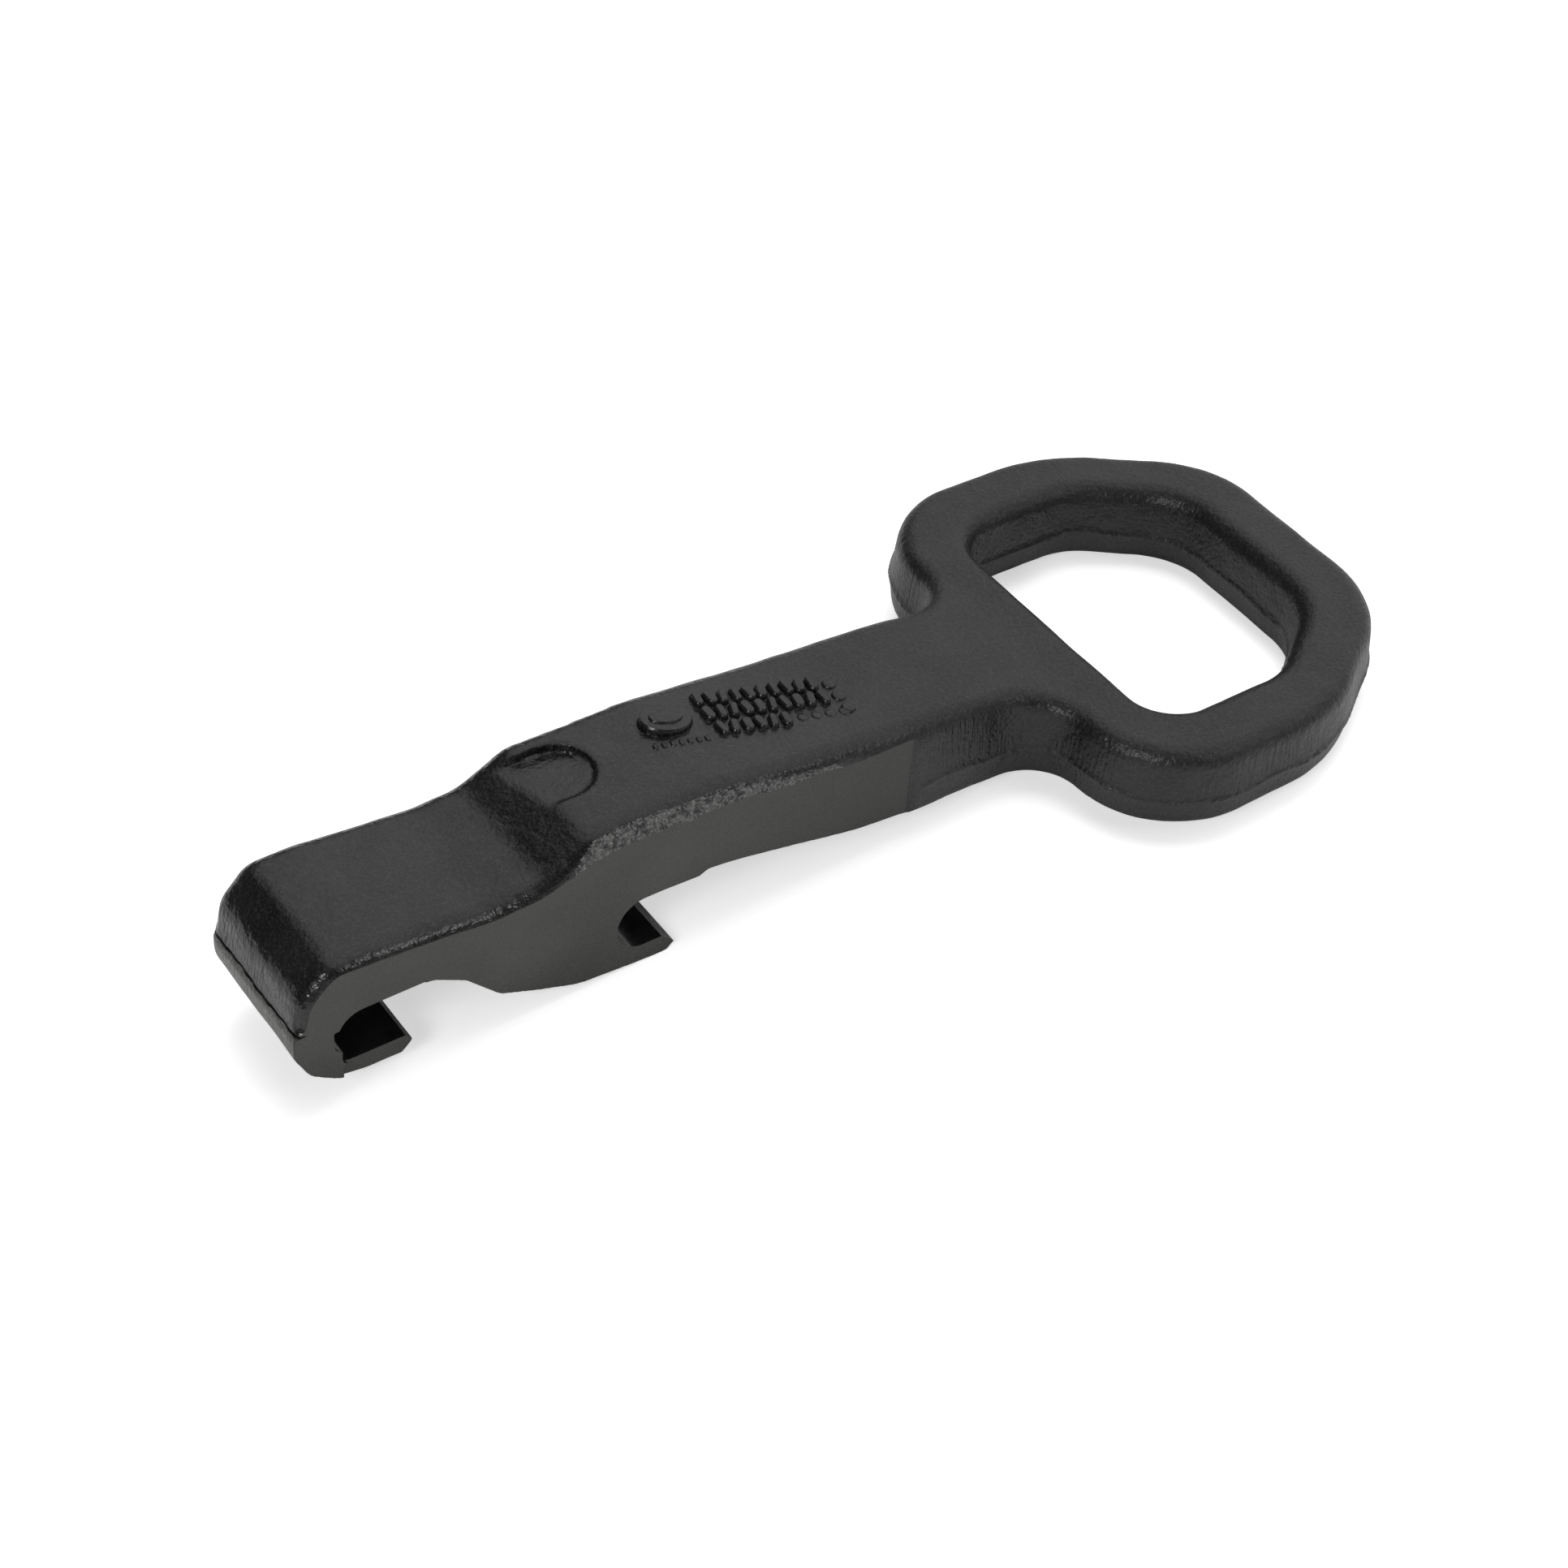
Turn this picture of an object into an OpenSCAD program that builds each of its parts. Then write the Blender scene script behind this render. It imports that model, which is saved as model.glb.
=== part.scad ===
// Front recovery hook, a one-piece steel drop forging.
// Frame: origin in the eye's hole, half way through the eye's thickness and on the hook's middle plane.
// +X points to the eye's far end, -X to the nose, +Y to the left side, +Z up, square to the eye.

/* [Eye] */
// Thickness of the eye from its flat top to its flat underside
eye_t = 22; // [20:0.1:24]
// Overall width of the eye across Y
eye_w = 121.4; // [116:0.1:126]
// Distance from the origin to the eye's rounded outer end
eye_reach = 56.2; // [54:0.1:58]
// Width of the hole through the eye, across Y, at its narrowest height
hole_w = 80.3; // [76:0.1:84]
// Distance from the origin to the hole's outer end
hole_reach = 36.1; // [34:0.1:38]
// Distance from the origin to the hole's straight side at the shank
hole_back = 23.3; // [21:0.1:25]
// Radius along the eye's top edges
top_edge_r = 4.5; // [3:0.5:6]
// Radius along the eye's bottom edges
bottom_edge_r = 3.5; // [2:0.5:4]
// How far the eye's sides lean in from the parting line to the top edge
side_draft = 1.3; // [0.8:0.1:1.8]
// How far the eye's sides lean in from the parting line to the bottom edge
lower_draft = 1.2; // [0.2:0.1:1.5]

/* [Shank] */
// Width of the shank between its two milled sides
shank_w = 40; // [37:0.5:41]
// Width of the forged shank beside the eye, before milling
raw_w = 41.6; // [41.2:0.1:43]
// Radius where the shank flows into the eye
neck_r = 13; // [11:0.5:15]
// Where the milled sides end, measured from the origin
milled_end = 82; // [78:1:90]
// Height of the shank's top above the eye's mid plane, at its highest
crest_z = 22; // [21.5:0.1:23]

/* [Nose] */
// Distance from the origin to the tip of the nose
nose_reach = 242.8; // [240:0.1:246]
// Height of the flat on top of the nose
nose_top_z = 16.4; // [15.8:0.1:17]
// Height of the underside behind the nose slot
nose_under_z = 1.4; // [0.8:0.1:2]

/* [Hook slots] */
// Top of the nose lip, the floor of the nose slot
nose_lip_z = -13.7; // [-14.5:0.1:-13]
// Thickness of the nose lip
nose_lip_t = 4.8; // [3.5:0.1:5]
// Tip of the nose lip, measured from the origin
nose_lip_reach = 213.9; // [212:0.1:218]
// Top of the belly lip, the floor of the belly slot
belly_lip_z = -15.75; // [-16.5:0.05:-15]
// Lowest point of the belly
belly_z = -20.9; // [-22:0.1:-20.4]
// Tip of the belly lip, measured from the origin
belly_lip_reach = 146; // [144:0.1:148]
// Radius of the round end of the belly slot
belly_slot_r = 7.3; // [6.5:0.1:7.4]

/* [Spot face] */
// Distance from the origin to the middle of the spot face
spot_x = 163.8; // [158:0.1:166]
// Sideways offset of the spot face
spot_y = 4.6; // [2:0.1:6]
// Radius of the spot face's round end
spot_r = 9; // [7:0.1:9.5]
// Height of the spot face's floor at its middle
spot_z = 20.3; // [20:0.1:21.4]

/* [Marks] */
// How far the plain raised marks stand above the forging
mark_h = 0.9; // [0.5:0.1:1.2]

/* [Hidden] */
arc_steps = 9;
half_t = eye_t / 2;
parting_z = -2.4;
corner_turn = 55;
shank_draft = 0.4;
side_y = raw_w / 2 - shank_draft;

// Outer outline of the eye as corner arcs: centre, radius, first and last angle
end_r = 33;
end_y = 16;
shoulder_r = 50;
root_r = 27.8;
root_x = -14.5;
outer_arcs = eye_arcs(eye_reach, end_y, end_r, eye_w / 2, shoulder_r, root_x, root_r);

// The hole's outline, built in the same way
hole_end_r = 20;
hole_end_y = 13.5;
hole_shoulder_r = 18;
hole_root_r = 10.5;
inner_arcs = eye_arcs(hole_reach, hole_end_y, hole_end_r, hole_w / 2, hole_shoulder_r,
                      hole_root_r - hole_back, hole_root_r);

// The neck's arc touches the shank's side and the eye's root corner
root_y = eye_w / 2 - root_r;
neck_y = side_y + neck_r;
neck_x = root_x - sqrt(pow(root_r + neck_r, 2) - pow(neck_y - root_y, 2));
neck_turn = acos((neck_y - root_y) / (root_r + neck_r));

// Slope of the shank's top between the crest and the neck
slope_foot_x = -90;
slope_foot_z = 17.2;
crest_x = -137;
top_slope = (crest_z - slope_foot_z) / (slope_foot_x - crest_x);

// Points of an arc about c, radius r, from angle a0 to a1
function arc(c, r, a0, a1, n = arc_steps) =
    [for (i = [0:n]) c + r * [cos(a0 + (a1 - a0) * i / n), sin(a0 + (a1 - a0) * i / n)]];

// Corner arcs of half of an eye outline, each one tangent to the straight after it
function eye_arcs(reach, y1, r1, half_w, r2, x3, r3) =
    let (
        c1 = [reach - r1, y1],
        n = [cos(corner_turn), sin(corner_turn)],
        y2 = half_w - r2,
        x2 = (c1 * n + r1 - r2 - y2 * n[1]) / n[0]
    )
    [
        [c1, r1, 0, corner_turn],
        [[x2, y2], r2, corner_turn, 90],
        [[x3, half_w - r3], r3, 90, 180]
    ];

// The closed outline that the corner arcs and their mirror image make
function loop_of(arcs) =
    let (half = [for (a = arcs) each arc(a[0], a[1], a[2], a[3])])
    concat(half, [for (i = [len(half) - 1:-1:0]) [half[i][0], -half[i][1]]]);

// Chain of points [x, z, r] whose corners are rounded by a radius r, as short straights
function filleted(corners, steps = 6) =
    let (n = len(corners))
    [for (i = [0:n - 1])
        let (
            p = corners[i],
            a = corners[(i + n - 1) % n],
            b = corners[(i + 1) % n],
            v = [p[0], p[1]],
            u = unit([a[0], a[1]] - v),
            w = unit([b[0], b[1]] - v),
            half_angle = acos(u * w) / 2,
            reach = p[2] / tan(half_angle),
            centre = v + unit(u + w) * p[2] / sin(half_angle),
            t0 = v + u * reach - centre,
            t1 = v + w * reach - centre,
            a0 = atan2(t0[1], t0[0]),
            turn = short_turn(atan2(t1[1], t1[0]) - a0)
        )
        each (p[2] == 0 ? [v] : arc(centre, p[2], a0, a0 + turn, steps))
    ];

function unit(v) = v / norm(v);
function short_turn(a) = a > 180 ? a - 360 : (a < -180 ? a + 360 : a);

// Section of the eye's bar: inset from the widest outline against height
function bar_edge() = concat(
    [for (a = [-90:30:0])
        [lower_draft + bottom_edge_r * (1 - cos(a)), -half_t + bottom_edge_r * (1 + sin(a))]],
    [[0, parting_z]],
    [for (a = [0:18:90])
        [side_draft + top_edge_r * (1 - cos(a)), half_t - top_edge_r * (1 - sin(a))]]
);

// The eye: its bar's section carried round between the two outlines
module eye_ring() {
    outer = loop_of(outer_arcs);
    inner = loop_of(inner_arcs);
    edge = bar_edge();
    n = len(outer);
    k = len(edge);
    function ring_point(i, j) =
        let (
            across = unit(outer[i] - inner[i]),
            outside = j < k,
            e = outside ? edge[j] : edge[2 * k - 1 - j],
            at = outside ? outer[i] - across * e[0] : inner[i] + across * e[0]
        )
        [at[0], at[1], e[1]];
    points = [for (i = [0:n - 1]) for (j = [0:2 * k - 1]) ring_point(i, j)];
    function at(i, j) = (i % n) * 2 * k + (j % (2 * k));
    faces = [for (i = [0:n - 1]) for (j = [0:2 * k - 1]) for (half = [0, 1])
        half == 0
            ? [at(i, j), at(i, j + 1), at(i + 1, j + 1)]
            : [at(i, j), at(i + 1, j + 1), at(i + 1, j)]];
    polyhedron(points, faces);
}

// Side outline of the shank, belly and nose, as corners [x, z, radius]: over the crest to the nose's
// crease, then round both hook slots and back to the eye
function side_outline() = filleted([
    [-hole_back - 6, half_t, 0],
    [-38, half_t, 40],
    [-64, 15.7, 60],
    [slope_foot_x, slope_foot_z, 80],
    [crest_x, crest_z, 60],
    [-168.9, crest_z, 9],
    [-181.3, 15.3, 12],
    [-194, 14, 40],
    [-222, nose_top_z, 40],
    [-nose_reach + 9.2, nose_top_z, 7],
    [-nose_reach + 2.2, 8.8, 9],
    [-nose_reach + 0.9, 0.7, 0],
    [-nose_reach + 0.9, 0.2, 0],
    [-nose_reach, -0.6, 0.4],
    [-nose_reach, -5.2, 6],
    [-nose_reach + 3.5, -12.4, 8],
    [-232, -17.3, 9],
    [-225, nose_lip_z - nose_lip_t, 15],
    [-nose_lip_reach - 2.5, nose_lip_z - nose_lip_t, 0.8],
    [-nose_lip_reach, nose_lip_z - 1.8, 0.6],
    [-nose_lip_reach - 1.4, nose_lip_z, 0.4],
    [-231.6, nose_lip_z, 2.5],
    [-231.4, -9.2, 0],
    [-233.2, -7.8, 2],
    [-233.3, -2.5, 0.5],
    [-231.9, -2.4, 0],
    [-230.4, nose_under_z, 4],
    [-209.5, nose_under_z, 8],
    [-200.8, -3.4, 5],
    [-192.4, -12.3, 8],
    [-172.2, -19.8, 20],
    [-152, belly_z, 8],
    [-belly_lip_reach - 2.4, belly_z, 0.8],
    [-belly_lip_reach, belly_z + 2.2, 0.6],
    [-belly_lip_reach - 3.6, belly_lip_z, 0.4],
    [-162.3, belly_lip_z, belly_slot_r - 0.15],
    [-162.3, belly_lip_z + 2 * belly_slot_r, belly_slot_r - 0.15],
    [-141, belly_lip_z + 2 * belly_slot_r - 0.3, 0.6],
    [-138, -0.35, 1.2],
    [-128, -1.65, 60],
    [-95, -8.3, 60],
    [-58, -half_t - 0.2, 60],
    [-hole_back - 6, -half_t, 0]
]);

// Plan of the shank with its two neck fillets
module shank_plan() {
    neck = arc([neck_x, neck_y], neck_r, 270, 270 + neck_turn);
    stop_x = -hole_back - 5;
    half = concat([[-nose_reach - 5, side_y]], neck, [[stop_x, neck[arc_steps][1]]]);
    polygon(concat(half, [for (i = [len(half) - 1:-1:0]) [half[i][0], -half[i][1]]]));
}

// Shank, belly and nose in one width, trimmed by the plan
module shank_body() {
    intersection() {
        rotate([90, 0, 0])
            linear_extrude(height = eye_w, center = true)
                polygon(side_outline());
        translate([0, 0, -50])
            linear_extrude(height = 100)
                shank_plan();
    }
}

// The two milling cuts that leave the shank's sides flat
module side_cuts() {
    length = nose_reach + 10 - milled_end;
    for (side = [-1, 1])
        translate([-nose_reach - 10, side * (shank_w / 2 + 5) - 5, -50])
            cube([length, 10, 100]);
}

// Round-ended spot face on the crest, open towards the nose and sunk deepest on the left
module spot_face() {
    tilt = 5.7;
    translate([-spot_x, spot_y, spot_z])
        rotate([-tilt, 0, 0]) {
            cylinder(r = spot_r, h = 20, $fn = 64);
            translate([-20, -spot_r, 0])
                cube([20, 2 * spot_r, 20]);
        }
}

// Plain raised boss and rows of plain bars, standing where a forging carries its marks
module marks() {
    rows = 3;
    columns = 7;
    row_pitch = 5.3;
    bar_w = 2.4;
    bar_l = 4.6;
    bar_pitch = 4.6;
    skew = -11.5;
    sink = 6;
    boss_r = 5.6;
    boss_x = -133.8;
    boss_y = 6.3;
    first_x = -122.5;
    first_y = 9.4;
    translate([boss_x, boss_y, top_height(boss_x) - sink])
        rotate([0, atan(top_slope), 0])
            cylinder(r = boss_r, h = sink + mark_h, $fn = 48);
    for (row = [0:rows - 1])
        for (i = [0:columns - 1])
            let (
                x = first_x + i * bar_pitch * cos(skew) - row * row_pitch * sin(-skew),
                y = first_y + i * bar_pitch * sin(skew) - row * row_pitch * cos(skew)
            )
            translate([x, y, top_height(x) - sink])
                rotate([0, atan(top_slope), 0])
                    rotate([0, 0, skew])
                        translate([-bar_w / 2, -bar_l / 2, 0])
                            cube([bar_w, bar_l, sink + mark_h]);
}

// Height of the shank's sloping top between the crest and the neck
function top_height(x) = slope_foot_z + top_slope * (slope_foot_x - x);

module forged_hook() {
    color([0.16, 0.16, 0.155])
        union() {
            eye_ring();
            difference() {
                shank_body();
                side_cuts();
                spot_face();
            }
            marks();
        }
}

forged_hook();
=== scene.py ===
"""Vehicle recovery hook: one black-painted steel forging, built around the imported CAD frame.

The forged blank is meshed from a distance field, then milled with crisp cutters, as the real part is.
Shape code works in millimetres in the CAD frame; the finished mesh is scaled to metres.
"""
import math

import bmesh
import bpy
import numpy as np
from mathutils import Matrix, Vector


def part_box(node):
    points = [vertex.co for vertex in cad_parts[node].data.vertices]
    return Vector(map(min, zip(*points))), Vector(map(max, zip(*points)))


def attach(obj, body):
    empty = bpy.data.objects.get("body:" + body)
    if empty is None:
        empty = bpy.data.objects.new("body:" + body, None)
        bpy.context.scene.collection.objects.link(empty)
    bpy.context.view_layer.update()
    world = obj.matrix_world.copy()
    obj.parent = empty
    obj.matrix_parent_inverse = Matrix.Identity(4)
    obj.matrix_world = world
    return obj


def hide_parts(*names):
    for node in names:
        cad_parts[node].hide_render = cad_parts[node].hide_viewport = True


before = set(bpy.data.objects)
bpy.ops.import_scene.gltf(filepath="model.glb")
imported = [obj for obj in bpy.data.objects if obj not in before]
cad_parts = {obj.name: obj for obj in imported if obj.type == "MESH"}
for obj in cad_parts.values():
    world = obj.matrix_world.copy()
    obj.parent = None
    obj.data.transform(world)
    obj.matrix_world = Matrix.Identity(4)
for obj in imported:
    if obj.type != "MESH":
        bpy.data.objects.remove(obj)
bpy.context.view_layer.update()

MM = 0.001

# ---------------------------------------------------------------- driving dimensions, millimetres
box_low, box_high = (np.array(corner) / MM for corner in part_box("forged_hook"))
NOSE_END = round(float(box_low[0]), 2)

# The eye: thickness, width, far end, turn of its far corners in degrees, and its corners by the necks.
EYE_T = 22.0
EYE_W = round(float(box_high[1] - box_low[1]), 2)
EYE_REACH = round(float(box_high[0]), 2)
CORNER_TURN = 55.0
EYE_ROOT_X = -14.5
EYE_ROOT_R = 27.8

# The hole through it: width, and how far it reaches towards +X and -X.
HOLE_W = 80.3
HOLE_REACH = 36.1
HOLE_BACK = 23.3
HOLE_ROOT_R = 10.5

# The shank: width as forged and as milled, neck fillets, end of the milling and height of the crest.
RAW_W = 41.6
SHANK_W = 40.0
NECK_R = 13.0
MILLED_END = -82.0
CREST_Z = 22.0
LIP_RELIEF = 1.2

# Edge radii and the ridge that the two dies leave between them.
EYE_TOP_R = 4.5
SHANK_TOP_R = 6.0
NOSE_TOP_R = 4.8
BOTTOM_R = 3.5
SHANK_BOTTOM_R = 0.8
RIDGE_H = 0.55
RIDGE_W = 0.6

# The spot face on the crest: x, y and radius of its round end, then its floor's height and cross slope.
SPOT = (-163.8, 4.6, 9.0)
SPOT_Z = 20.3
SPOT_SLOPE = 0.10

# The distance field's grid: spacing and heights, and a length that reaches clear of the forging.
VOXEL = 0.75
FIELD_LOW = -23.5
FIELD_HIGH = 25.5
CLEAR = 40


# ---------------------------------------------------------------- plane geometry
def arc(centre, radius, first, last, steps=14):
    """Points of an arc, angles in degrees."""
    turn = np.radians(np.linspace(first, last, steps + 1))
    return np.stack([centre[0] + radius * np.cos(turn), centre[1] + radius * np.sin(turn)], 1)


def eye_half(reach, end_y, end_r, half_w, shoulder_r, root_x, root_r, root_last):
    """Half an eye outline: end corner, shoulder and root corner, tangent to each other."""
    normal = np.array([math.cos(math.radians(CORNER_TURN)), math.sin(math.radians(CORNER_TURN))])
    end = np.array([reach - end_r, end_y])
    shoulder_y = half_w - shoulder_r
    shoulder_x = (end @ normal + end_r - shoulder_r - shoulder_y * normal[1]) / normal[0]
    return np.concatenate([
        arc(end, end_r, 0, CORNER_TURN),
        arc((shoulder_x, shoulder_y), shoulder_r, CORNER_TURN, 90),
        arc((root_x, half_w - root_r), root_r, 90, root_last),
    ])


def mirrored(half):
    """Closes a half outline with its mirror image in Y."""
    return np.concatenate([half, half[::-1] * [1, -1]])


def plan_outline():
    """Outer outline of the whole forging: eye, necks and shank."""
    root_y = EYE_W / 2 - EYE_ROOT_R
    neck_y = RAW_W / 2 + NECK_R
    neck_x = EYE_ROOT_X - math.sqrt((EYE_ROOT_R + NECK_R) ** 2 - (neck_y - root_y) ** 2)
    neck_turn = math.degrees(math.acos((neck_y - root_y) / (EYE_ROOT_R + NECK_R)))
    half = eye_half(EYE_REACH, end_y=16, end_r=33, half_w=EYE_W / 2, shoulder_r=50,
                    root_x=EYE_ROOT_X, root_r=EYE_ROOT_R, root_last=90 + neck_turn)
    neck = arc((neck_x, neck_y), NECK_R, 270 + neck_turn, 270)
    return mirrored(np.concatenate([half, neck, [[-270, RAW_W / 2]]]))


def hole_outline():
    """Outline of the hole through the eye."""
    return mirrored(eye_half(HOLE_REACH, end_y=13.5, end_r=20, half_w=HOLE_W / 2, shoulder_r=18,
                             root_x=HOLE_ROOT_R - HOLE_BACK, root_r=HOLE_ROOT_R, root_last=180))


def filleted(corners, steps=8):
    """Polygon whose corners (x, z, r) are rounded by a radius r."""
    points = []
    count = len(corners)
    for i, (x, z, r) in enumerate(corners):
        here = np.array([x, z], float)
        before = np.array(corners[i - 1][:2], float) - here
        after = np.array(corners[(i + 1) % count][:2], float) - here
        before /= np.linalg.norm(before)
        after /= np.linalg.norm(after)
        if r == 0:
            points.append(here[None])
            continue
        half = math.acos(np.clip(before @ after, -1, 1)) / 2
        middle = before + after
        centre = here + middle / np.linalg.norm(middle) * r / math.sin(half)
        start = here + before * r / math.tan(half) - centre
        end = here + after * r / math.tan(half) - centre
        first = math.degrees(math.atan2(start[1], start[0]))
        turn = math.degrees(math.atan2(end[1], end[0])) - first
        turn = (turn + 180) % 360 - 180
        points.append(arc(centre, r, first, first + turn, steps))
    return np.concatenate(points)


def side_outline():
    """Side outline of the blank, before its two hook slots are cut."""
    return filleted([
        (70, EYE_T / 2, 0),
        (-38, EYE_T / 2, 40),
        (-64, 15.7, 60),
        (-90, 17.2, 80),
        (-137, CREST_Z, 60),
        (-168.9, CREST_Z, 9),
        (-181.3, 15.3, 12),
        (-194, 14.0, 40),
        (-222, 16.4, 40),
        (-233.6, 16.5, 7),
        (-240.6, 8.8, 9),
        (-241.9, 0.7, 0.5),
        (-242.0, 0.2, 0),
        (NOSE_END, -0.6, 0.4),
        (NOSE_END, -5.2, 6),
        (-239.3, -12.4, 8),
        (-232.0, -17.3, 9),
        (-225, -18.5, 15),
        (-216.4, -18.5, 0.8),
        (-213.9, -15.8, 0.6),
        (-213.5, 1.35, 0.6),
        (-209.5, 1.35, 8),
        (-200.8, -3.4, 5),
        (-192.4, -12.3, 8),
        (-172.2, -19.8, 20),
        (-152, -20.9, 8),
        (-148.5, -20.9, 1.2),
        (-146.0, -18.65, 0.8),
        (-143.5, -1.85, 0.5),
        (-141, -1.75, 1.0),
        (-138, -0.35, 1.5),
        (-128, -1.65, 60),
        (-95, -8.3, 60),
        (-58, -EYE_T / 2 - 0.2, 60),
        (70, -EYE_T / 2, 0),
    ])


def polygon_distance(points, uu, vv):
    """Signed distance from points (uu, vv) to a closed polygon, negative inside."""
    best = np.full(uu.shape, 1e9, np.float32)
    inside = np.zeros(uu.shape, bool)
    for (ax, ay), (bx, by) in zip(points, np.roll(points, -1, 0)):
        dx, dy = bx - ax, by - ay
        span = dx * dx + dy * dy
        if span < 1e-12:
            continue
        t = np.clip(((uu - ax) * dx + (vv - ay) * dy) / span, 0, 1)
        best = np.minimum(best, (uu - ax - t * dx) ** 2 + (vv - ay - t * dy) ** 2)
        if ay != by:
            crosses = (ay > vv) != (by > vv)
            inside ^= crosses & (uu < ax + (vv - ay) * dx / dy)
    return np.where(inside, -1, 1) * np.sqrt(best)


def smoothstep(low_edge, high_edge, value):
    """Smooth rise from 0 to 1 between two values; the first may be the higher one."""
    t = np.clip((value - low_edge) / (high_edge - low_edge), 0, 1)
    return t * t * (3 - 2 * t)


def ripple(x, y, z, pitch, seed, waves=7):
    """Smooth wandering noise, about -1 to 1, from waves in seeded directions."""
    rng = np.random.default_rng(seed)
    total = 0.0
    for _ in range(waves):
        way = rng.normal(size=3)
        way *= 2 * math.pi / pitch * rng.uniform(0.6, 1.5) / np.linalg.norm(way)
        total = total + np.sin(way[0] * x + way[1] * y + way[2] * z + rng.uniform(0, 2 * math.pi))
    return total / math.sqrt(waves * 0.5) * 0.6


# ---------------------------------------------------------------- the forged blank
def round_meet(a, b, radius):
    """Intersection of two distance fields, with its edge rounded by a radius."""
    au, bu = a + radius, b + radius
    return np.minimum(np.maximum(au, bu), 0) + np.hypot(np.maximum(au, 0), np.maximum(bu, 0)) - radius


def parting_height(x):
    """Height of the die's parting line along the hook, before its waviness."""
    return -2.4 + 2.6 * smoothstep(-60, -240, x)


def strip_depth(x):
    """Width across Y of the torn strip beside the milled sides, zero where there is none."""
    return 2.3 * smoothstep(-86, -158, x) * smoothstep(-176, -166, x)


def blank_field():
    """Distance field of the forging before milling, on a regular grid."""
    margin = 3 * VOXEL
    x = np.arange(NOSE_END - margin, EYE_REACH + margin, VOXEL)
    y = np.arange(-EYE_W / 2 - margin, EYE_W / 2 + margin, VOXEL)
    z = np.arange(FIELD_LOW, FIELD_HIGH, VOXEL)
    plane_x, plane_y = np.meshgrid(x, y, indexing="ij")
    plan = np.maximum(polygon_distance(plan_outline(), plane_x, plane_y),
                      -polygon_distance(hole_outline(), plane_x, plane_y))
    side = polygon_distance(side_outline(), *np.meshgrid(x, z, indexing="ij"))
    plan = plan[:, :, None].astype(np.float32)
    side = side[:, None, :].astype(np.float32)
    xx = x[:, None, None].astype(np.float32)
    yy = y[None, :, None].astype(np.float32)
    zz = z[None, None, :].astype(np.float32)

    # The sides lean in both ways from a wavy parting line, less on the shank than on the eye.
    above = zz - parting_height(xx) - 0.5 * ripple(xx, yy, 0 * xx, pitch=22, seed=5)
    shank = smoothstep(-55, -84, xx)
    upper_lean = 0.10 - 0.08 * shank
    lower_lean = 0.14 * shank - 0.15
    lean = np.where(above > 0, upper_lean * above, lower_lean * above)
    ridge = RIDGE_H * np.exp(-(above / RIDGE_W) ** 2)
    sides = plan + lean - ridge

    # The edge radius changes along the hook, and up its side from the lower edge's to the upper edge's.
    top_r = EYE_TOP_R + (SHANK_TOP_R - EYE_TOP_R) * smoothstep(-60, -98, xx)
    top_r = top_r + (NOSE_TOP_R - SHANK_TOP_R) * smoothstep(-184, -206, xx)
    bottom_r = BOTTOM_R + (SHANK_BOTTOM_R - BOTTOM_R) * smoothstep(-30, -60, xx)
    far_nose = smoothstep(-225, -240, xx) * smoothstep(0, 12, yy)
    bottom_r = bottom_r + 4.2 * far_nose
    middle = 9 * smoothstep(-90, -120, xx) * smoothstep(-238, -233, xx)
    radius = bottom_r + (top_r - bottom_r) * smoothstep(middle - 1, middle + 2.5, zz)
    body = round_meet(side, sides, radius)

    spot_x, spot_y, spot_r = SPOT
    across = yy - spot_y
    wall = np.where(xx > spot_x, np.hypot(xx - spot_x, across), np.abs(across)) - spot_r
    floor = SPOT_Z - SPOT_SLOPE * across - zz
    body = round_meet(body, -round_meet(wall, floor, radius=0.7), radius=0.6)

    # The skin is uneven, and a torn strip stands out along the tops of the milled sides.
    skin = np.abs(body) < 2
    sx, sy, sz = (np.broadcast_to(a, body.shape)[skin] for a in (xx, yy, zz))
    waves = 0.10 * ripple(sx, sy, sz, pitch=26, seed=11)
    body[skin] += waves + 0.035 * ripple(sx, sy, sz, pitch=7, seed=12)
    edge = np.abs(sy) - SHANK_W / 2 + strip_depth(sx)
    torn = smoothstep(-0.25, 0.35, edge) * (strip_depth(sx) > 0.1) * (sz > 8)
    body[skin] += torn * (0.20 + 0.13 * ripple(sx, sy, sz, pitch=2.8, seed=21))
    return body, np.array([x[0], y[0], z[0]])


def sample(field, origin, step, points):
    """Field values between the grid nodes."""
    place = (points - origin) / step
    cell = np.clip(np.floor(place).astype(int), 0, np.array(field.shape) - 2)
    part = place - cell
    value = 0.0
    for i in (0, 1):
        for j in (0, 1):
            for k in (0, 1):
                weight = (np.abs(1 - i - part[:, 0]) * np.abs(1 - j - part[:, 1])
                          * np.abs(1 - k - part[:, 2]))
                value = value + weight * field[cell[:, 0] + i, cell[:, 1] + j, cell[:, 2] + k]
    return value


def settled(field, origin, step, points):
    """Points moved on to the field's zero surface."""
    for _ in range(2):
        slope = np.stack([
            sample(field, origin, step, points + shift) - sample(field, origin, step, points - shift)
            for shift in np.eye(3) * 0.5 * step], 1) / step
        value = sample(field, origin, step, points)
        points = points - slope * (value / np.maximum((slope ** 2).sum(1), 0.25))[:, None]
    return points


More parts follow.
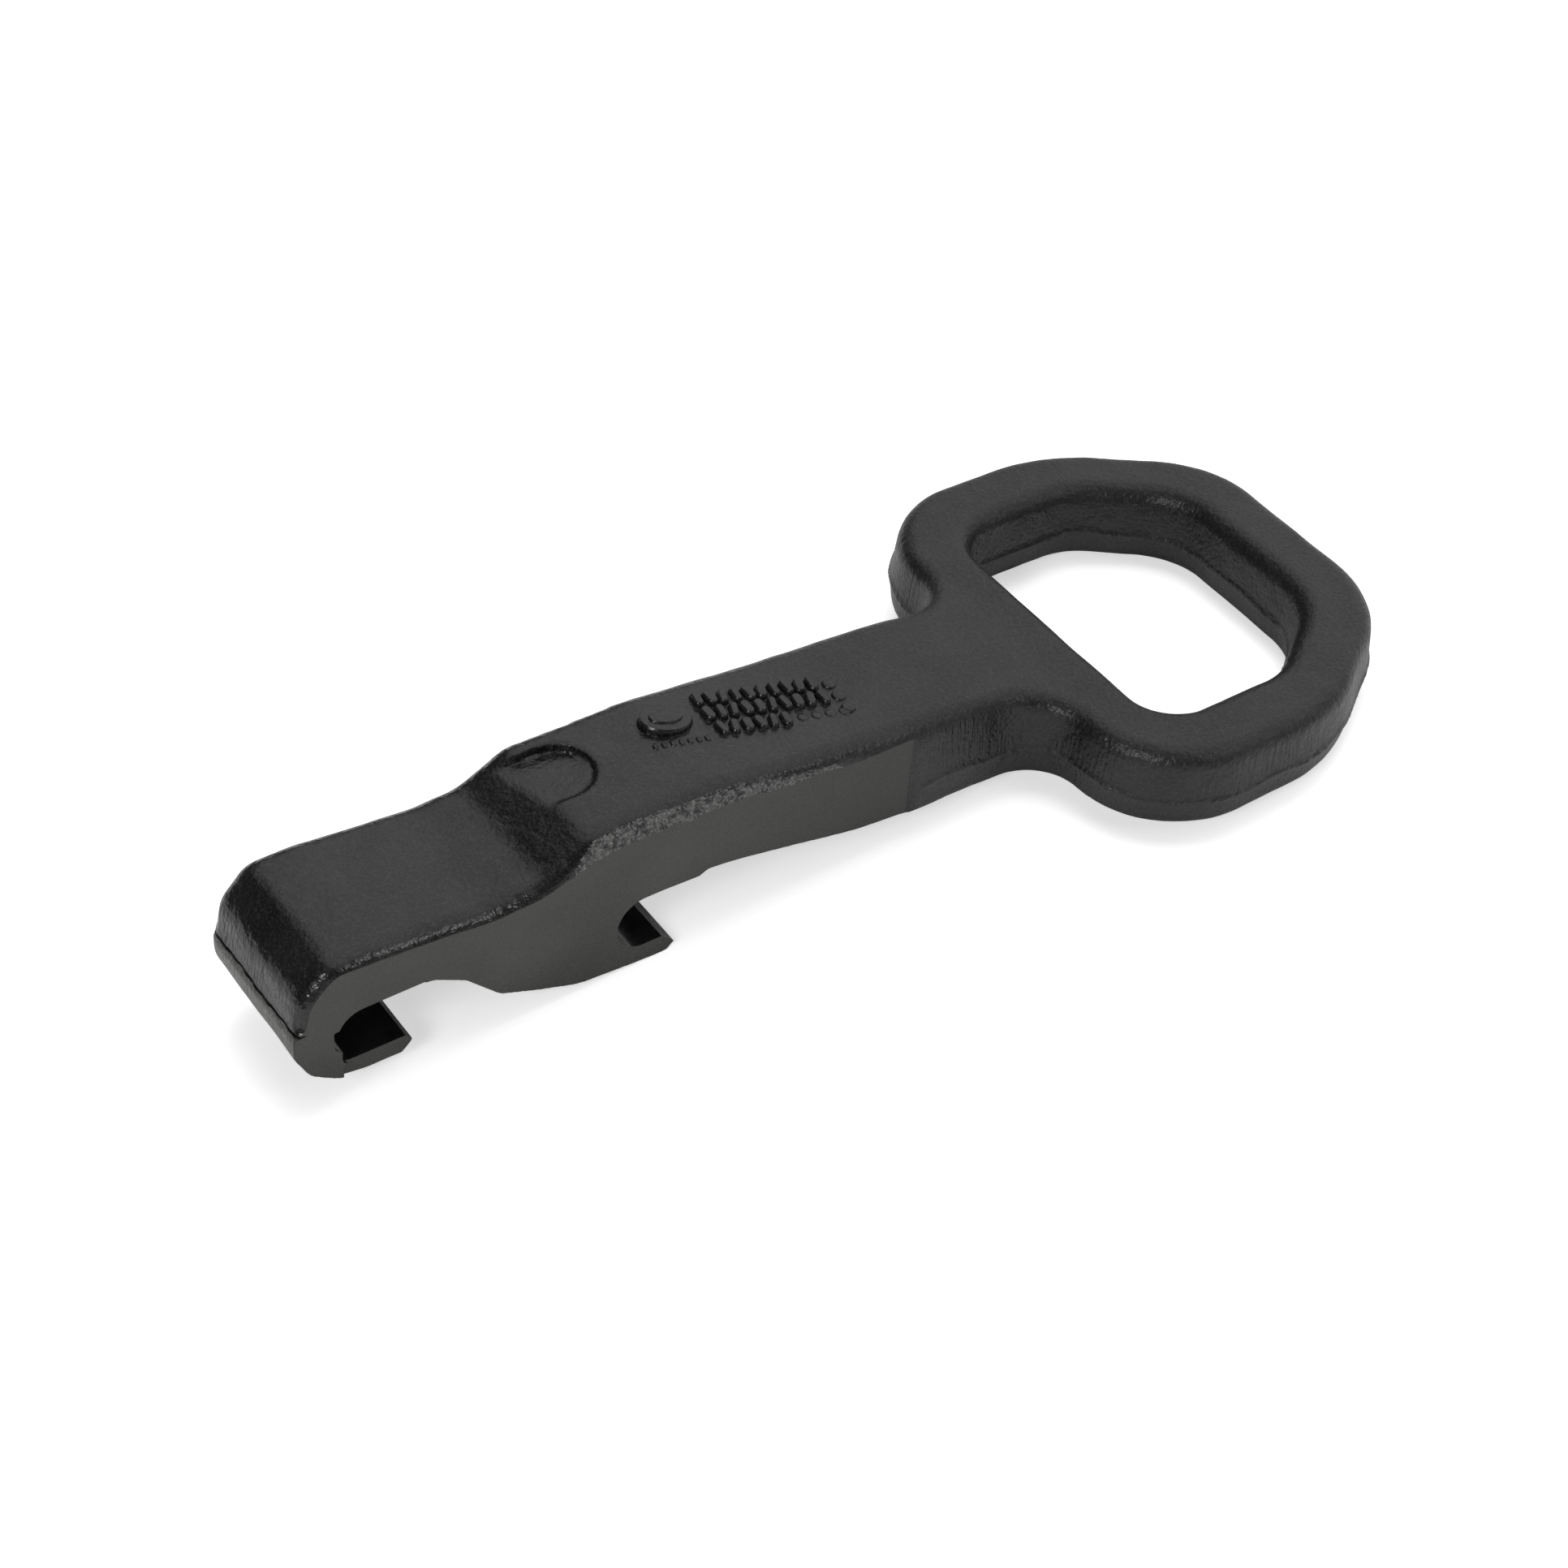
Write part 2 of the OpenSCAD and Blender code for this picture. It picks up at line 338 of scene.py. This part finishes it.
def untangle(field):
    """Flips the faintest nodes where the surface would touch itself along an edge or at a point."""
    for _ in range(30):
        inside = field < 0
        found = []
        for axis in range(3):
            u, v = (axis + 1) % 3, (axis + 2) % 3

            def corner(i, j):
                cut = [slice(None)] * 3
                cut[u] = slice(i, field.shape[u] - 1 + i)
                cut[v] = slice(j, field.shape[v] - 1 + j)
                return inside[tuple(cut)]

            a, b, c, d = corner(0, 0), corner(1, 0), corner(1, 1), corner(0, 1)
            for at in np.argwhere((a == c) & (b == d) & (a != b)):
                ring = [at.copy() for _ in range(4)]
                ring[1][u] += 1
                ring[2][[u, v]] += 1
                ring[3][v] += 1
                found.append(min((tuple(r) for r in ring), key=lambda r: abs(field[r])))
        if not found:
            return
        for node in set(found):
            field[node] = -math.copysign(0.02, field[node])


def surface_net(field, origin, step):
    """Closed quad mesh of a field's zero surface: one vertex in each cell the surface crosses."""
    untangle(field)
    inside = field < 0
    nx, ny, nz = (n - 1 for n in field.shape)
    corners = [(i, j, k) for i in (0, 1) for j in (0, 1) for k in (0, 1)]
    count = np.zeros((nx, ny, nz), np.uint8)
    for i, j, k in corners:
        count += inside[i:i + nx, j:j + ny, k:k + nz]
    cells = np.argwhere((count > 0) & (count < 8))
    values = np.stack([field[cells[:, 0] + i, cells[:, 1] + j, cells[:, 2] + k] for i, j, k in corners], 1)
    total = np.zeros((len(cells), 3))
    hits = np.zeros(len(cells))
    for a in range(8):
        for b in range(a + 1, 8):
            if sum(abs(p - q) for p, q in zip(corners[a], corners[b])) != 1:
                continue
            cross = (values[:, a] < 0) != (values[:, b] < 0)
            t = values[cross, a] / (values[cross, a] - values[cross, b])
            start, end = np.array(corners[a]), np.array(corners[b])
            total[cross] += start + t[:, None] * (end - start)
            hits[cross] += 1
    vertices = np.array(origin) + (cells + total / hits[:, None]) * step

    index = np.full((nx, ny, nz), -1, np.int64)
    index[tuple(cells.T)] = np.arange(len(cells))
    quads = []
    for axis in range(3):
        u, v = (axis + 1) % 3, (axis + 2) % 3
        first = np.moveaxis(inside, axis, 0)[:-1]
        second = np.moveaxis(inside, axis, 0)[1:]
        flips = np.moveaxis(first != second, 0, axis)
        at = np.argwhere(flips)
        at = at[(at[:, u] > 0) & (at[:, u] < field.shape[u] - 1)
                & (at[:, v] > 0) & (at[:, v] < field.shape[v] - 1)]
        ring = []
        for du, dv in ((-1, -1), (0, -1), (0, 0), (-1, 0)):
            cell = at.copy()
            cell[:, u] += du
            cell[:, v] += dv
            ring.append(index[tuple(cell.T)])
        quad = np.stack(ring, 1)
        leaves = inside[tuple(at.T)]
        quad[~leaves] = quad[~leaves][:, ::-1]
        quads.append(quad)
    return vertices, np.concatenate(quads)


def mesh_object(name, vertices, faces):
    """A mesh object from arrays of millimetre points and equal-sided faces."""
    mesh = bpy.data.meshes.new(name)
    faces = np.asarray(faces)
    count, sides = faces.shape
    mesh.vertices.add(len(vertices))
    mesh.vertices.foreach_set("co", np.asarray(vertices, np.float32).ravel())
    mesh.loops.add(count * sides)
    mesh.loops.foreach_set("vertex_index", faces.ravel().astype(np.int32))
    mesh.polygons.add(count)
    mesh.polygons.foreach_set("loop_start", np.arange(0, count * sides, sides, dtype=np.int32))
    mesh.update(calc_edges=True)
    mesh.validate()
    piece = bpy.data.objects.new(name, mesh)
    bpy.context.scene.collection.objects.link(piece)
    return piece


def finished_form(name, form):
    """Turns a bmesh of millimetre points into an object."""
    mesh = bpy.data.meshes.new(name)
    form.to_mesh(mesh)
    form.free()
    piece = bpy.data.objects.new(name, mesh)
    bpy.context.scene.collection.objects.link(piece)
    return piece


def prism(name, outline, direction, start, end):
    """A closed prism: an outline in the plane across direction, 'y' or 'z', from start to end."""
    form = bmesh.new()
    rings = []
    for height in (start, end):
        if direction == "y":
            ring = [form.verts.new((p[0], height, p[1])) for p in outline]
        else:
            ring = [form.verts.new((p[0], p[1], height)) for p in outline]
        rings.append(ring)
    count = len(outline)
    for i in range(count):
        form.faces.new((rings[0][i], rings[0][(i + 1) % count], rings[1][(i + 1) % count], rings[1][i]))
    form.faces.new(rings[0][::-1])
    form.faces.new(rings[1])
    bmesh.ops.recalc_face_normals(form, faces=form.faces)
    bmesh.ops.triangulate(form, faces=[f for f in form.faces if len(f.verts) > 4])
    return finished_form(name, form)


def combine(piece, tool, operation):
    """Applies a boolean and deletes the tool."""
    modifier = piece.modifiers.new("cut", "BOOLEAN")
    modifier.operation = operation
    modifier.solver = "MANIFOLD"
    modifier.object = tool
    graph = bpy.context.evaluated_depsgraph_get()
    result = bpy.data.meshes.new_from_object(piece.evaluated_get(graph))
    piece.modifiers.clear()
    old = piece.data
    piece.data = result
    bpy.data.meshes.remove(old)
    used = tool.data
    bpy.data.objects.remove(tool)
    bpy.data.meshes.remove(used)


# ---------------------------------------------------------------- milling cuts
def nose_slot_outline():
    """Side outline of the slot behind the nose, open towards +X, with a hollow in its blind end."""
    return filleted([
        (-211.0, 1.6, 0),
        (-230.4, 1.4, 6.5),
        (-231.9, -2.4, 0),
        (-233.3, -2.5, 0.6),
        (-233.2, -7.8, 2.2),
        (-231.4, -9.2, 0),
        (-231.6, -13.7, 2.5),
        (-215.5, -13.7, 0.25),
        (-212.7, -16.6, 0),
        (-211.0, -16.6, 0),
    ])


def belly_slot_outline():
    """Side outline of the slot over the belly's lip, open towards +X, with a full round end."""
    radius = 7.28
    floor = -15.75
    return np.concatenate([
        filleted([(-140.5, -21.1, 0), (-144.2, -21.1, 0), (-149.9, floor, 0.25), (-152, floor, 0)])[:-1],
        arc((-154.8, floor + radius), radius, 270, 90, 28),
        filleted([(-150, -1.15, 0), (-140.5, -1.5, 0)]),
    ])


def crease_cutter():
    """A thin wavy wedge across the nose's end, at the parting line."""
    form = bmesh.new()
    rings = []
    for y in np.linspace(-24, 24, 49):
        z = 0.35 + 0.2 * math.sin(0.31 * y) + 0.12 * math.sin(1.3 * y + 1)
        deep = NOSE_END + (1.9 + 0.25 * math.sin(0.7 * y) + 1.6 * smoothstep(-17, -21, y))
        wedge = ((-246, z + 1.5), (deep, z + 0.12), (deep, z - 0.12), (-246, z - 0.5))
        rings.append([form.verts.new((px, y, pz)) for px, pz in wedge])
    for one, two in zip(rings, rings[1:]):
        for i in range(4):
            form.faces.new((one[i], one[(i + 1) % 4], two[(i + 1) % 4], two[i]))
    form.faces.new(rings[0][::-1])
    form.faces.new(rings[-1])
    bmesh.ops.recalc_face_normals(form, faces=form.faces)
    return finished_form("crease", form)


def mill(piece):
    """Flat sides, the two hook slots, the lip's side reliefs and the nose's crease."""
    half = SHANK_W / 2
    combine(piece, crease_cutter(), "DIFFERENCE")
    for side in (-1, 1):
        path = [(-260, side * half), (MILLED_END, side * half), (MILLED_END + 4, side * 21.5),
                (-75, side * CLEAR), (-260, side * CLEAR)]
        slab = prism("side_mill", path, "z", -CLEAR, CLEAR)
        combine(piece, slab, "DIFFERENCE")
        groove = filleted([(-231.3, -13.6, 1.0), (-231.3, -30, 0), (-200, -30, 0), (-200, -12.6, 0),
                           (-228.0, -12.6, 0)])
        relief = prism("lip_relief", groove, "y", side * (half - LIP_RELIEF), side * 30)
        combine(piece, relief, "DIFFERENCE")
    combine(piece, prism("nose_slot", nose_slot_outline(), "y", -CLEAR, CLEAR), "DIFFERENCE")
    combine(piece, prism("belly_slot", belly_slot_outline(), "y", -CLEAR, CLEAR), "DIFFERENCE")


# ---------------------------------------------------------------- plain raised marks
def pill_ring(length, width, inset):
    """A bar's outline with round ends, inset all round."""
    straight = max(length - width, 0) / 2
    radius = width / 2 - inset
    return np.concatenate([arc((0, straight), radius, 0, 180, 8), arc((0, -straight), radius, 180, 360, 8)])


def oval_ring(length, width, inset):
    """An oval's outline, inset all round."""
    turn = np.radians(np.arange(0, 360, 7.5))
    return np.stack([(width / 2 - inset) * np.cos(turn), (length / 2 - inset) * np.sin(turn)], 1)


def add_mark(form, ring, length, width, height, place):
    """Adds one raised mark with a rounded top edge; its foot is sunk in the forging."""
    rings = []
    steps = ((-0.15, -1.2), (-0.15, 0.0), (0.0, height * 0.45), (0.12, height * 0.8), (0.38, height))
    for inset, level in steps:
        rings.append([form.verts.new(place @ Vector((u, v, level))) for u, v in ring(length, width, inset)])
    count = len(rings[0])
    for lower, upper in zip(rings, rings[1:]):
        for i in range(count):
            form.faces.new((lower[i], lower[(i + 1) % count], upper[(i + 1) % count], upper[i]))
    form.faces.new(rings[0][::-1])
    form.faces.new(rings[-1])


def mark_place(height_at, spot, turn):
    """Where a mark stands on the sloping crest, turned about its own upright axis."""
    stand = Matrix.Translation((spot[0], spot[1], height_at(*spot)))
    slope = Matrix.Rotation(math.radians(7.0), 4, "Y")
    return stand @ slope @ Matrix.Rotation(math.radians(turn), 4, "Z")


def boss_middle(height_at):
    """The taller middle of the oval boss, added after it so that the two become one solid."""
    form = bmesh.new()
    place = mark_place(height_at, spot=(-133.9, 6.3), turn=-14)
    add_mark(form, oval_ring, length=5.0, width=8.4, height=2.0, place=place)
    return finished_form("boss_middle", form)


def marks(height_at):
    """An oval boss and rows of plain bars, where the forging carries its raised marks."""
    form = bmesh.new()
    along = np.array([0.98, -0.2])
    up = np.array([0.2, 0.98])

    def put(ring, spot, length, width, height, turn):
        add_mark(form, ring, length, width, height, mark_place(height_at, spot, turn))

    put(oval_ring, spot=(-133.8, 6.3), length=9.8, width=12.8, height=1.5, turn=-14)

    # Three rows of large bars: how many, their length, where the row starts and their height.
    start = np.array([-123.0, 9.6])
    rows = ((10, 5.0, 0.0, 1.5), (10, 4.8, 0.6, 1.5), (6, 4.7, 1.8, 1.3))
    for row, (count, length, shift, height) in enumerate(rows):
        for i in range(count):
            spot = start + along * (shift + 3.2 * i) - up * 5.4 * row
            width = 2.35 + 0.3 * math.sin(1.7 * i + 2 * row)
            put(pill_ring, spot, length, width, height, turn=-11 + 13 * math.sin(2.1 * i + row))

    # Low dots that end the third row, dots beside the rows' ends, and a row of small bars.
    for i in range(4):
        spot = start + along * (22.2 + 3.5 * i) - up * 10.6
        put(oval_ring, spot, length=2.6, width=2.6, height=0.35, turn=0)
    for i in range(3):
        spot = start + along * (33.2 + 0.5 * i) - up * (0.4 + 4.6 * i)
        put(oval_ring, spot, length=3.4, width=3.2, height=0.6, turn=0)
    for i in range(7):
        spot = np.array([-140.4, -0.1]) + along * 2.1 * i
        put(pill_ring, spot, length=1.9, width=1.1, height=0.45, turn=-11)
    return finished_form("marks", form)


def height_finder(field, origin, step):
    """Gives the height of the forging's top at a point of the plan."""
    def height_at(x, y):
        levels = np.arange(12, 24, 0.05)
        column = np.stack([np.full(levels.shape, x), np.full(levels.shape, y), levels], 1)
        return levels[sample(field, origin, step, column) < 0][-1]
    return height_at


def build_hook():
    """The forging in millimetres: meshed blank, milling cuts, then the marks."""
    field, origin = blank_field()
    vertices, quads = surface_net(field, origin, VOXEL)
    piece = mesh_object("hook_forging", settled(field, origin, VOXEL, vertices), quads)
    mill(piece)
    height_at = height_finder(field, origin, VOXEL)
    combine(piece, marks(height_at), "UNION")
    combine(piece, boss_middle(height_at), "UNION")
    return piece


# ---------------------------------------------------------------- which faces carry which finish
FORGED, MILLED, SLOT, BEVEL, TORN, TRIMMED = range(6)


def finish_faces(piece):
    """Gives each face the index of its finish, by where it lies."""
    count = len(piece.data.polygons)
    centre = np.empty(count * 3)
    normal = np.empty(count * 3)
    piece.data.polygons.foreach_get("center", centre)
    piece.data.polygons.foreach_get("normal", normal)
    x, y, z = centre.reshape(-1, 3).T
    nx, ny, nz = normal.reshape(-1, 3).T
    half = SHANK_W / 2
    near = 0.02
    index = np.full(count, FORGED, np.int32)
    torn = (np.abs(y) > half - strip_depth(x)) & (z > 8) & (strip_depth(x) > 0.3) & (np.abs(ny) < 0.99)
    index[torn] = TORN
    index[(x < NOSE_END + 6) & (z < 0.3) & (nx < -0.25)] = TRIMMED
    on_side = np.abs(np.abs(y) - half) < near
    on_relief = np.abs(np.abs(y) - half + LIP_RELIEF) < near
    index[(np.abs(ny) > 0.999) & (on_side | on_relief) & (x < MILLED_END)] = MILLED
    for outline in (nose_slot_outline(), belly_slot_outline()):
        on_cut = (np.abs(polygon_distance(outline, x, z)) < near) & (np.abs(ny) < 0.02)
        index[on_cut] = SLOT
        index[on_cut & (nx > 0.5) & (nz > 0.3) & (z < -13) & (x > -218)] = BEVEL
    piece.data.polygons.foreach_set("material_index", index)
    return index


# ---------------------------------------------------------------- materials
class Nodes:
    """Short calls for building a material's or the world's node graph."""

    def __init__(self, tree):
        self.tree = tree

    def make(self, kind, **values):
        """A new node with some of its properties set."""
        node = self.tree.nodes.new(kind)
        for key, value in values.items():
            setattr(node, key, value)
        return node

    def set(self, socket, value):
        """Links a socket to an output, or gives it a value."""
        if isinstance(value, bpy.types.NodeSocket):
            self.tree.links.new(value, socket)
        else:
            socket.default_value = value

    def math(self, operation, a, b=0.0):
        """The result of an operation on two numbers."""
        node = self.make("ShaderNodeMath", operation=operation)
        self.set(node.inputs[0], a)
        self.set(node.inputs[1], b)
        return node.outputs[0]

    def ramp(self, value, start, end, to_start=0.0, to_end=1.0):
        """A smooth change from one number to another as a value goes from start to end."""
        node = self.make("ShaderNodeMapRange", interpolation_type="SMOOTHSTEP")
        for socket, given in zip(node.inputs, (value, start, end, to_start, to_end)):
            self.set(socket, given)
        return node.outputs[0]

    def dot(self, vector, direction):
        """The part of a vector along a direction."""
        node = self.make("ShaderNodeVectorMath", operation="DOT_PRODUCT")
        self.set(node.inputs[0], vector)
        node.inputs[1].default_value = direction
        return node.outputs["Value"]

    def noise(self, coords, pitch, stretch=(1, 1, 1), detail=2.0):
        """Noise, about 0 to 1, with bumps of a pitch in millimetres."""
        scale = self.make("ShaderNodeVectorMath", operation="MULTIPLY")
        self.set(scale.inputs[0], coords)
        scale.inputs[1].default_value = [s / (pitch * MM) for s in stretch]
        node = self.make("ShaderNodeTexNoise")
        node.inputs["Scale"].default_value = 1
        node.inputs["Detail"].default_value = detail
        self.set(node.inputs["Vector"], scale.outputs[0])
        return node.outputs["Fac"]

    def mix_colour(self, factor, one, two):
        """A colour between two colours."""
        node = self.make("ShaderNodeMix", data_type="RGBA")
        self.set(node.inputs[0], factor)
        self.set(node.inputs[6], one)
        self.set(node.inputs[7], two)
        return node.outputs[2]


def paint(name, dark, light, roughness, bumps, edge=0.0, blotch=14.0, matt_eye=0.0, glint_speckled=0.25,
          paler=None, uneven=0.07):
    """Black paint over one kind of steel surface.

    The colour goes from dark to light in blotches of a pitch; where paler, a mask, is 0 it stays dark, and
    where it is 1 it is in the lighter half. Pale grains, painted glints, lie over it, as strong as
    glint_speckled says.
    Bumps are rows of pitch, stretch, height and a mask or None. Edge is the radius of rounded-looking
    edges. Pitches, heights and edge are in millimetres. The eye's roughness is greater by matt_eye.
    """
    material = bpy.data.materials.new("black_paint_" + name)
    material.use_nodes = True
    graph = Nodes(material.node_tree)
    shader = material.node_tree.nodes["Principled BSDF"]
    coords = graph.make("ShaderNodeTexCoord").outputs["Object"]
    patches = graph.ramp(graph.noise(coords, blotch, detail=1.5), 0.35, 0.68)
    if paler:
        half_mask = graph.math("MULTIPLY", paler(graph, coords), 0.5)
        patches = graph.math("MULTIPLY", graph.math("ADD", patches, 1.0), half_mask)
    colour = graph.mix_colour(patches, (*dark, 1), (*light, 1))
    # Pale grains in the colour are painted glints of the glossy paint.
    glint_grain = graph.ramp(graph.noise(coords, 0.6, detail=2), 0.50, 0.62)
    pale = [4 * value for value in light]
    colour = graph.mix_colour(graph.math("MULTIPLY", glint_grain, glint_speckled), colour, (*pale, 1))
    graph.set(shader.inputs["Base Color"], colour)
    speckle = graph.noise(coords, 1.1, detail=3)
    rough = graph.ramp(speckle, 0.3, 0.7, roughness - uneven, roughness + uneven)
    if matt_eye:
        rough = graph.math("ADD", rough, graph.math("MULTIPLY", on_eye(graph, coords), matt_eye))
    graph.set(shader.inputs["Roughness"], rough)
    height = 0.0
    for pitch, stretch, amount, mask in bumps:
        layer = graph.math("MULTIPLY", graph.noise(coords, pitch, stretch), amount)
        if mask is not None:
            layer = graph.math("MULTIPLY", layer, mask(graph, coords))
        height = graph.math("ADD", layer, height)
    bump = graph.make("ShaderNodeBump")
    bump.inputs["Strength"].default_value = 1
    bump.inputs["Distance"].default_value = MM
    graph.set(bump.inputs["Height"], height)
    if edge:
        bevel = graph.make("ShaderNodeBevel", samples=4)
        bevel.inputs["Radius"].default_value = edge * MM
        graph.set(bump.inputs["Normal"], bevel.outputs[0])
    graph.set(shader.inputs["Normal"], bump.outputs[0])
    return material


def on_walls(graph, coords):
    """1 on patches of the upright walls, where they are streaked."""
    normal = graph.make("ShaderNodeNewGeometry").outputs["Normal"]
    steep = graph.ramp(graph.math("ABSOLUTE", graph.dot(normal, (0, 0, 1))), 0.55, 0.25)
    patch = graph.ramp(graph.noise(coords, 17), 0.42, 0.56)
    return graph.math("MULTIPLY", steep, patch)


def on_shank(graph, coords):
    """0 on the finer-grained eye, rising to 1 at the crest."""
    return graph.ramp(graph.dot(coords, (1, 0, 0)), -0.06, -0.15)


def on_belly(graph, coords):
    """0 where the milled faces begin, rising to 1 at the belly."""
    return graph.ramp(graph.dot(coords, (1, 0, 0)), -0.088, -0.16)


def on_eye(graph, coords):
    """1 on the eye, falling to 0 at the crest."""
    return graph.ramp(graph.dot(coords, (1, 0, 0)), -0.15, -0.06)


EVEN = (1, 1, 1)
UPRIGHT = (1, 1, 0.05)


def forged_paint():
    """The pebbled skin of the forging, finer on the eye, with streaks on its upright walls and pale grains
    of painted glints.
    """
    bumps = [
        (1.1, EVEN, 0.30, on_eye),
        (1.7, EVEN, 0.20, on_shank),
        (0.9, EVEN, 0.10, on_shank),
        (6, EVEN, 0.25, on_shank),
        (0.9, UPRIGHT, 0.4, on_walls),
    ]
    return paint("forged", dark=(0.005, 0.005, 0.005), light=(0.009, 0.009, 0.0087), roughness=0.22,
                 bumps=bumps, edge=0.25, matt_eye=0.17, glint_speckled=0.32, uneven=0.04)


def milled_paint():
    """The flat sides, paler towards the belly, with faint upright tool marks."""
    return paint("milled", dark=(0.011, 0.0115, 0.009), light=(0.032, 0.033, 0.0275), roughness=0.27,
                 bumps=[(1.3, UPRIGHT, 0.03, None), (9, EVEN, 0.12, None)],
                 edge=0.3, blotch=22.0, glint_speckled=0.0, paler=on_belly, uneven=0.015)


def slot_paint():
    """The walls of both slots, dark and smooth."""
    return paint("slot", dark=(0.003, 0.003, 0.003), light=(0.005, 0.005, 0.005), roughness=0.2,
                 bumps=[(1.2, EVEN, 0.01, None)], edge=0.3)


def bevel_highlight_paint():
    """The bevels inside the tips of both lips, made lighter by a painted highlight."""
    return paint("bevel", dark=(0.06, 0.06, 0.056), light=(0.10, 0.10, 0.095), roughness=0.42,
                 bumps=[(0.5, UPRIGHT, 0.03, None)], edge=0.2)


def torn_glint_paint():
    """The rough strip along the tops of the milled sides, with fine light blotches that are painted glints.
    """
    return paint("torn", dark=(0.010, 0.010, 0.010), light=(0.085, 0.085, 0.083), roughness=0.17,
                 bumps=[(0.9, EVEN, 0.5, None), (0.45, EVEN, 0.2, None)], blotch=1.6)


def trimmed_paint():
    """The lighter, streaked band below the crease on the nose's end."""
    return paint("trimmed", dark=(0.035, 0.035, 0.033), light=(0.075, 0.075, 0.07), roughness=0.34,
                 bumps=[(0.55, UPRIGHT, 0.25, None)], edge=0.2)


# In the order of the finishes' indexes.
PAINTS = (forged_paint, milled_paint, slot_paint, bevel_highlight_paint, torn_glint_paint, trimmed_paint)


# ---------------------------------------------------------------- stage
# The camera was fitted to the photograph: its turn in degrees and its place in metres.
AZIMUTH = -37.85
ELEVATION = 41.86
ROLL = 4.96
EYE_POINT = (-0.4397, -0.4331, 0.48525)
LENS = 71.76

# The hook rests on its belly and the eye's far end: a point of that floor in metres, and its slope.
FLOOR_AT = (-0.152, 0, -0.02108)
FLOOR_RISE = math.atan2(9.86, 201)
FLOOR_HALF = 3000

# Lamps: name, place and size in metres, and power in watts.
LAMPS = (
    ("key", (-0.95, -0.45, 0.62), 0.3, 4),
    ("top", (0.1, 0.25, 1.3), 0.9, 10),
    ("side", (0.35, -0.85, 0.72), 0.22, 1.0),
)
LAMPS_AIM = (-0.12, 0, 0)


def build_world():
    """Soft studio: a broad white panel behind and overhead, a pale horizon and a dim room elsewhere."""
    world = bpy.data.worlds.new("studio")
    world.use_nodes = True
    graph = Nodes(world.node_tree)
    background = world.node_tree.nodes["Background"]
    way = graph.make("ShaderNodeTexCoord").outputs["Generated"]
    panel = graph.ramp(graph.dot(way, (0.52, 0.207, 0.83)), 0.42, 0.90, 0.0, 0.85)
    horizon = graph.math("MULTIPLY", graph.ramp(graph.dot(way, (0, 0, 1)), 0.35, 0.05, 0.0, 0.55),
                         graph.ramp(graph.dot(way, (0.45, -0.89, 0)), -0.1, 0.6))
    room = graph.math("ADD", graph.math("MAXIMUM", panel, horizon), 0.06)
    seen = graph.make("ShaderNodeLightPath").outputs["Is Camera Ray"]
    backdrop = graph.math("MULTIPLY", seen, 0.95)
    graph.set(background.inputs["Strength"], graph.math("MAXIMUM", room, backdrop))
    background.inputs["Color"].default_value = (1, 1, 1, 1)
    bpy.context.scene.world = world
    bpy.context.scene.view_settings.view_transform = "Standard"


def build_floor():
    """A pale floor under the belly and the eye's far end."""
    corners = [(x * FLOOR_HALF, y * FLOOR_HALF, 0) for x, y in ((-1, -1), (1, -1), (1, 1), (-1, 1))]
    floor = mesh_object("floor", corners, [(0, 1, 2, 3)])
    floor.data.transform(Matrix.Scale(MM, 4))
    floor.matrix_world = Matrix.Translation(FLOOR_AT) @ Matrix.Rotation(-FLOOR_RISE, 4, "Y")
    material = bpy.data.materials.new("floor_white")
    material.use_nodes = True
    graph = Nodes(material.node_tree)
    shader = material.node_tree.nodes["Principled BSDF"]
    shader.inputs["Base Color"].default_value = (0.8, 0.8, 0.8, 1)
    shader.inputs["Roughness"].default_value = 0.9
    shader.inputs["Emission Color"].default_value = (1, 1, 1, 1)
    seen = graph.make("ShaderNodeLightPath").outputs["Is Camera Ray"]
    graph.set(shader.inputs["Emission Strength"], graph.math("MULTIPLY", seen, 0.55))
    floor.data.materials.append(material)


def build_lamps():
    """Soft square lamps; the overhead one isn't seen in reflections."""
    for name, spot, size, power in LAMPS:
        data = bpy.data.lights.new(name, "AREA")
        data.shape = "SQUARE"
        data.size = size
        data.energy = power
        lamp = bpy.data.objects.new(name, data)
        lamp.location = spot
        lamp.visible_glossy = name != "top"
        lamp.rotation_euler = (Vector(LAMPS_AIM) - Vector(spot)).to_track_quat("-Z", "Y").to_euler()
        bpy.context.scene.collection.objects.link(lamp)


def build_camera():
    """The photograph's view."""
    azimuth, elevation, roll = (math.radians(a) for a in (AZIMUTH, ELEVATION, ROLL))
    back = Vector((math.sin(azimuth) * math.cos(elevation), -math.cos(azimuth) * math.cos(elevation),
                   math.sin(elevation)))
    right = (-back).cross(Vector((0, 0, 1))).normalized()
    up = right.cross(-back)
    turned = math.cos(roll) * right + math.sin(roll) * up
    upright = -math.sin(roll) * right + math.cos(roll) * up
    data = bpy.data.cameras.new("camera")
    data.sensor_width = 36
    data.lens = LENS
    data.clip_start = 0.05
    data.clip_end = 20
    camera = bpy.data.objects.new("camera", data)
    rows = [(turned[i], upright[i], back[i], EYE_POINT[i]) for i in range(3)]
    camera.matrix_world = Matrix(rows + [(0, 0, 0, 1)])
    bpy.context.scene.collection.objects.link(camera)
    bpy.context.scene.camera = camera


build_world()
build_floor()
build_lamps()
build_camera()
hook = build_hook()
hook.data.materials.clear()
for make_paint in PAINTS:
    hook.data.materials.append(make_paint())
finish = finish_faces(hook)
hook.data.transform(Matrix.Scale(MM, 4))
hook.data.set_sharp_from_angle(angle=math.radians(32))
hook.data.polygons.foreach_set("use_smooth", finish != MILLED)
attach(hook, "root")
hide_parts("forged_hook")
